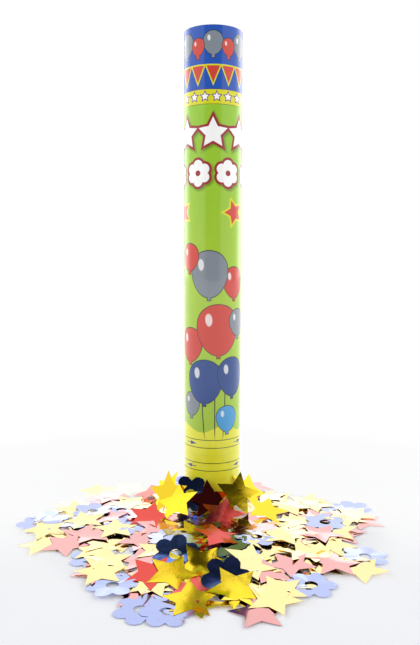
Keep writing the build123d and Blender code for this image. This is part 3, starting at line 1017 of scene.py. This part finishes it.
class FoilBed:
    def __init__(self):
        self.draw = random.Random(looseBed["seed"])
        self.leanDraw = random.Random(looseBed["seed"])
        self.low = np.array(cadLow[:2]) - looseBed["mapMargin"]
        size = np.array(cadHigh[:2]) + looseBed["mapMargin"] - self.low
        self.ground = np.zeros((size / looseBed["cell"]).astype(int) + 2)
        self.taken = np.zeros(self.ground.shape, bool)
        self.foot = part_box("tube_label")[1].x
        self.rim = np.full((looseBed["rimTurns"], looseBed["rimLevels"]), self.foot)
        self.piles = {colour: FoilPile() for colour in loosePiles}
        flowerReach = foilCut["petalPitch"] + foilCut["petalRadius"]
        self.samples = {"star": self.sampleBlank(starOutline, foilCut["starReach"]),
                        "flower": self.sampleBlank(flowerOutline, flowerReach)}

    def sampleBlank(self, outline, reach):
        steps = np.arange(-reach, reach, looseBed["sampleStep"])
        margin = looseBed["sampleMargin"]
        return np.array([(x, y) for x in steps for y in steps
                         if math.hypot(x, y) < outline(math.atan2(x, y)) + margin])

    def cells(self, places):
        return tuple(((places - self.low) / looseBed["cell"]).astype(int).T)

    def curl(self, draw, limp=1.0):
        # a soft bend, and now and then a crease across the piece
        turn = draw.uniform(0, math.pi)
        axis = np.array([math.cos(turn), math.sin(turn)])
        bend = draw.gauss(0, looseBed["bend"] * limp)
        twist = draw.gauss(0, looseBed["twist"] * limp)
        crease = draw.choice(looseBed["creases"]) * draw.random()

        def height(flat):
            along = flat @ axis
            across = flat @ np.array([-axis[1], axis[0]])
            return bend * along ** 2 + twist * along * across + crease * np.abs(along)
        return height

    def lacquerAt(self, x, y, forward):
        # it shows less on pieces that face the front, or the tube they mirror, and more towards the back
        tipped = forward is not None and forward > math.radians(looseBed["bareFrom"])
        if tipped or (abs(x) < looseBed["mirrorHalfWidth"] and y < 0):
            return foilCut["bareLacquer"]
        return np.interp(y, looseBed["lacquerDepth"], looseBed["lacquer"])

    def layDown(self, colour, x, y, turn, forward=None, aside=0.0):
        shape = looseShapes[colour]
        spin = spinOf(turn)
        flat = self.samples[shape]
        curl = self.curl(self.draw)
        side = self.draw.choice((1, -1))
        offset = flat @ spin.T
        places = offset + (x, y)
        if np.hypot(*places.T).min() < self.foot + looseBed["tubeGap"]:
            return False
        cells = self.cells(places)
        if self.taken[cells].mean() > looseBed["underLeaning"]:
            return False
        below = self.ground[cells]
        slope = np.linalg.lstsq(np.c_[offset, np.ones(len(offset))], below, rcond=None)[0][:2]
        slope += np.array([self.draw.gauss(0, looseBed["tilt"]), self.draw.gauss(0, looseBed["tilt"])])
        slope *= min(1.0, looseBed["steepest"] / max(np.hypot(*slope), 1e-6))
        if forward is not None:
            slope = slope * looseBed["slopeKept"] + (math.tan(aside), math.tan(forward))
        rise = offset @ slope + side * curl(flat)
        lift = np.quantile(below - rise, looseBed["rests"])
        rise = np.maximum(rise + lift, below + looseBed["gap"])
        np.maximum.at(self.ground, cells, rise + foilCut["thickness"])
        points, faces = foilBlanks[shape]
        spread = points[:, :2] @ spin.T
        height = spread @ slope + side * curl(points[:, :2]) + lift
        nearest = ((points[:, None, :2] - flat[None]) ** 2).sum(2).argmin(1)
        height = np.maximum(height, rise[nearest]) + points[:, 2] + foilCut["thickness"] / 2
        lacquer = self.lacquerAt(x, y, forward)
        self.piles[colour].add(np.c_[spread + (x, y), height], faces, self.draw.random(), lacquer)
        return True

    def insideEdge(self, x, y, share):
        across = abs(x - looseBed["middle"][0]) / (looseBed["halfWidth"] * share)
        ahead = y - looseBed["middle"][1]
        along = abs(ahead) / (looseBed["back" if ahead > 0 else "front"] * share)
        return across ** looseBed["corner"] + along ** looseBed["corner"] <= 1

    def fill(self, layers):
        middleX, middleY = looseBed["middle"]
        for share in layers:
            taken = []
            for attempt in range(looseBed["attempts"]):
                x = self.draw.uniform(middleX - looseBed["halfWidth"], middleX + looseBed["halfWidth"])
                y = self.draw.uniform(middleY - looseBed["front"], middleY + looseBed["back"])
                if not self.insideEdge(x, y, share):
                    continue
                if any(math.hypot(x - a, y - b) < looseBed["spacing"] for a, b in taken):
                    continue
                choice = self.draw.random()
                colour = next(name for name, limit in looseBed["mix"] if choice <= limit)
                if self.layDown(colour, x, y, self.draw.uniform(0, 2 * math.pi)):
                    taken.append((x, y))

    def leanOn(self, colour, around, lean, turn, aside):
        shape = looseShapes[colour]
        facing = math.radians(around + aside)
        around, lean = math.radians(around), math.radians(lean)
        out = np.array([math.sin(around), -math.cos(around), 0])
        side = np.array([math.cos(facing), math.sin(facing), 0])
        ahead = np.array([math.sin(facing), -math.cos(facing), 0])
        up = np.array([0, 0, math.sin(lean)]) - ahead * math.cos(lean)
        face = np.cross(side, up)
        spin = spinOf(math.radians(turn))
        curl = self.curl(self.leanDraw, looseBed["leanBend"])

        def standing(flat, reach, thick=0.0):
            across, along = (flat @ spin.T).T
            stood = np.outer(across, side) + np.outer(along, up) + np.outer(curl(flat) + thick, face)
            return stood + out * reach

        flat = self.samples[shape]
        for reach in np.arange(looseBed["slideFrom"], self.foot, -looseBed["slideStep"]):
            points = standing(flat, reach)
            cells = self.cells(points[:, :2])
            lift = (self.ground[cells] - points[:, 2]).max() + looseBed["gap"]
            points[:, 2] += lift
            radii = np.hypot(points[:, 0], points[:, 1])
            turns = np.arctan2(points[:, 0], points[:, 1]) / (2 * math.pi) * looseBed["rimTurns"]
            turns = turns.astype(int) % looseBed["rimTurns"]
            levels = np.clip((points[:, 2] / looseBed["rimStep"]).astype(int), 0, looseBed["rimLevels"] - 1)
            if (radii < self.rim[turns, levels] + looseBed["rimGap"]).any():
                break
            kept = reach, lift, turns, levels, radii, cells
        reach, lift, turns, levels, radii, cells = kept
        np.maximum.at(self.rim, (turns, levels), radii)
        self.taken[cells] = True
        points, faces = foilBlanks[shape]
        stood = standing(points[:, :2], reach, points[:, 2])
        stood[:, 2] = np.maximum(stood[:, 2] + lift, 0)
        self.piles[colour].add(stood, faces, self.leanDraw.random(), foilCut["bareLacquer"])

    def make(self):
        first = looseBed["firstLayers"]
        self.fill(looseBed["layers"][:first])
        for leaning in looseBed["leaning"]:
            self.leanOn(*leaning)
        self.fill(looseBed["layers"][first:])
        for colour, x, y, *angles in looseBed["onTop"]:
            turn, forward, aside = np.radians((angles + [0, 0])[:3])
            self.layDown(colour, x * mm, y * mm, turn, forward, aside)
        for colour, (name, node, slot) in loosePiles.items():
            pile = self.piles[colour].make(name)
            smoothOver(pile, angle=50.0)
            dress(pile, "base", slot, node)
            print(colour, "loose pieces", len(self.piles[colour].points))


FoilBed().make()


# Floor, studio light and camera

studio = {
    "floorSize": 12.0,
    "floorTone": (246, 247, 252),
    "floorDrop": 0.4 * mm,
    "fadeMiddle": -0.17,   # the floor turns white with the distance from here
    "fadeFrom": 0.2,
    "fadeTo": 0.46,
    "paleRamp": (-0.25, -0.02),   # and it pales from front to back, by a share that leaves the shadow
    "paleShare": 0.8,
    "shadeMiddle": -0.085,
    "shadeHalfWidth": 0.14,
    "shadeHalfDepth": 0.11,
    "shadeRamp": (0.6, 1.1),
    "mirroredFloor": 1.4,
    "fill": 0.3,
    # what shiny surfaces see of the room, by degrees from the front and shares of straight up
    "softEdge": 0.03,
    "frontHalfAngle": 29.0,
    "overhead": 0.35,   # how much wider the dark front is overhead
    "frontLow": 0.24,
    "frontCard": 0.85,   # a pale card across the front, which the foils mirror when seen from behind
    "cardRamp": (0.31, 0.36),
    "cardTop": 0.59,
    "frontDark": 0.03,
    "sideBright": 1.0,
    "backSideBright": 2.6,
    "backSideRamp": (92.0, 128.0),
    "flags": (147.0, 160.0),   # darker strips that draw the tube's edges
    "flagBright": 0.7,
    "flagTop": 0.33,
    "flagTopSoft": 0.02,
    "backdropLow": 1.9,   # the backdrop's foot, which the far pieces mirror
    "backdropBright": 1.25,
    "backdropRamp": (0.32, 0.38),
    "aim": (0.0, 0.0, 0.25),
    # bearing from the front, rise, distance, width, height and brightness of each soft panel
    "panels": {
        "leftPanel": (-64, 14, 1.5, 1.75, 1.8, 1.9),
        "rightPanel": (64, 14, 1.5, 1.75, 1.8, 1.9),
        "leftBackPanel": (-125, 14, 1.7, 1.2, 1.8, 2.2),
        "rightBackPanel": (125, 14, 1.7, 1.2, 1.8, 2.2),
    },
}


def rayKinds(tree):
    path = tree.nodes.new("ShaderNodeLightPath")
    return [Field(path.outputs[label]) for label in ("Is Camera Ray", "Is Glossy Ray", "Is Transmission Ray")]


def layFloor():
    clearSelection()
    bpy.ops.mesh.primitive_plane_add(size=studio["floorSize"], location=(0, 0, -studio["floorDrop"]))
    floor = bpy.context.object
    floor.name = "floor"
    material, shader, place = newMaterial("paperFloor", **{"Roughness": 0.9, "Specular IOR Level": 0.1})
    grain = useGroup(fineGrain, Place=place, Scale=260.0, Colour=colourOf(*studio["floorTone"]), Spread=0.015)
    plug(grain["Colour"], shader.inputs["Base Color"])
    x, y, z = axes(place)
    white = ramp(lengthOf(x, y - studio["fadeMiddle"]), studio["fadeFrom"], studio["fadeTo"])
    shadeX = x / studio["shadeHalfWidth"]
    shadeY = (y - studio["shadeMiddle"]) / studio["shadeHalfDepth"]
    clear = ramp(square(shadeX) + square(shadeY), *studio["shadeRamp"])
    pale = ramp(y, *studio["paleRamp"]) * studio["paleShare"] * clear
    camera, glossy, through = rayKinds(place.tree)
    seen = calc("MAXIMUM", camera, calc("MAXIMUM", glossy, through))
    bright = between(glossy, 1.0, studio["mirroredFloor"])
    glow = newField("ShaderNodeEmission", (bright,), ("Strength",))
    share = calc("MAXIMUM", white, pale) * seen
    mixed = newField("ShaderNodeMixShader", (share, Field(shader.outputs[0]), glow), range(3))
    plug(mixed, place.tree.nodes["Material Output"].inputs["Surface"])
    floor.data.materials.append(material)


def hangPanels():
    for name, (bearing, rise, distance, width, height, bright) in studio["panels"].items():
        lamp = bpy.data.lights.new(name, "AREA")
        lamp.shape = "RECTANGLE"
        lamp.size = width
        lamp.size_y = height
        lamp.energy = bright * math.pi * width * height
        panel = bpy.data.objects.new(name, lamp)
        bearing, rise = math.radians(bearing), math.radians(rise)
        level = math.cos(rise)
        way = Vector((math.sin(bearing) * level, -math.cos(bearing) * level, math.sin(rise)))
        panel.location = Vector(studio["aim"]) + way * distance
        panel.rotation_euler = (-way).to_track_quat("-Z", "Y").to_euler()
        panel.visible_glossy = False   # shiny surfaces see the room instead
        bpy.context.scene.collection.objects.link(panel)


def lightRoom():
    world = bpy.data.worlds.new("whiteRoom")
    bpy.context.scene.world = world
    world.use_nodes = True
    tree = world.node_tree
    x, y, z = axes(Field(tree.nodes.new("ShaderNodeTexCoord").outputs["Generated"]))
    bearing = abs(calc("ARCTAN2", x, -y))
    soft = studio["softEdge"]
    # the camera's side of the room is dark, and more widely so overhead, with a pale card across it
    ahead = y * -math.tan(math.radians(studio["frontHalfAngle"]))
    wide = calc("MULTIPLY_ADD", calc("MAXIMUM", z, 0.0), studio["overhead"], ahead)
    front = between(ramp(z, *studio["cardRamp"]), studio["frontLow"], studio["frontCard"])
    front = between(edgeAt(z, studio["cardTop"], soft), front, studio["frontDark"])
    # the sides grow brighter towards the back, up to the strips, with the backdrop between those
    backwards = ramp(bearing, *np.radians(studio["backSideRamp"]))
    flagStart, flagEnd = np.radians(studio["flags"])
    level = between(backwards, studio["sideBright"], studio["backSideBright"])
    level = between(edgeAt(bearing, flagStart, soft), level, studio["flagBright"])
    overFlags = edgeAt(z, studio["flagTop"], studio["flagTopSoft"])
    backdrop = calc("MAXIMUM", edgeAt(bearing, flagEnd, soft), overFlags) * backwards
    backLevel = between(ramp(z, *studio["backdropRamp"]), studio["backdropLow"], studio["backdropBright"])
    level = between(backdrop, level, backLevel)
    mirrored = between(edgeAt(abs(x) - wide, 0.0, soft), front, level)
    camera, glossy, through = rayKinds(tree)
    strength = between(calc("MAXIMUM", glossy, through), studio["fill"], mirrored)
    back = tree.nodes["Background"]
    back.inputs["Color"].default_value = (1.0, 1.0, 1.0, 1.0)
    plug(between(camera, strength, 1.0), back.inputs["Strength"])


photoView = {
    "place": (-0.0023, -0.591, 0.2112),
    "downTilt": 5.30,
    "roll": -0.13,
    "lens": 37.84,
    "sensor": 36.0,
}


def setCamera():
    eye = bpy.data.cameras.new("photoView")
    eye.lens = photoView["lens"]
    eye.sensor_width = photoView["sensor"]
    camera = bpy.data.objects.new("photoView", eye)
    camera.location = photoView["place"]
    camera.rotation_euler = (math.radians(90 - photoView["downTilt"]), math.radians(photoView["roll"]), 0)
    bpy.context.scene.collection.objects.link(camera)
    bpy.context.scene.camera = camera


layFloor()
hangPanels()
lightRoom()
setCamera()
bpy.context.scene.view_settings.view_transform = "Standard"
print("studio set")
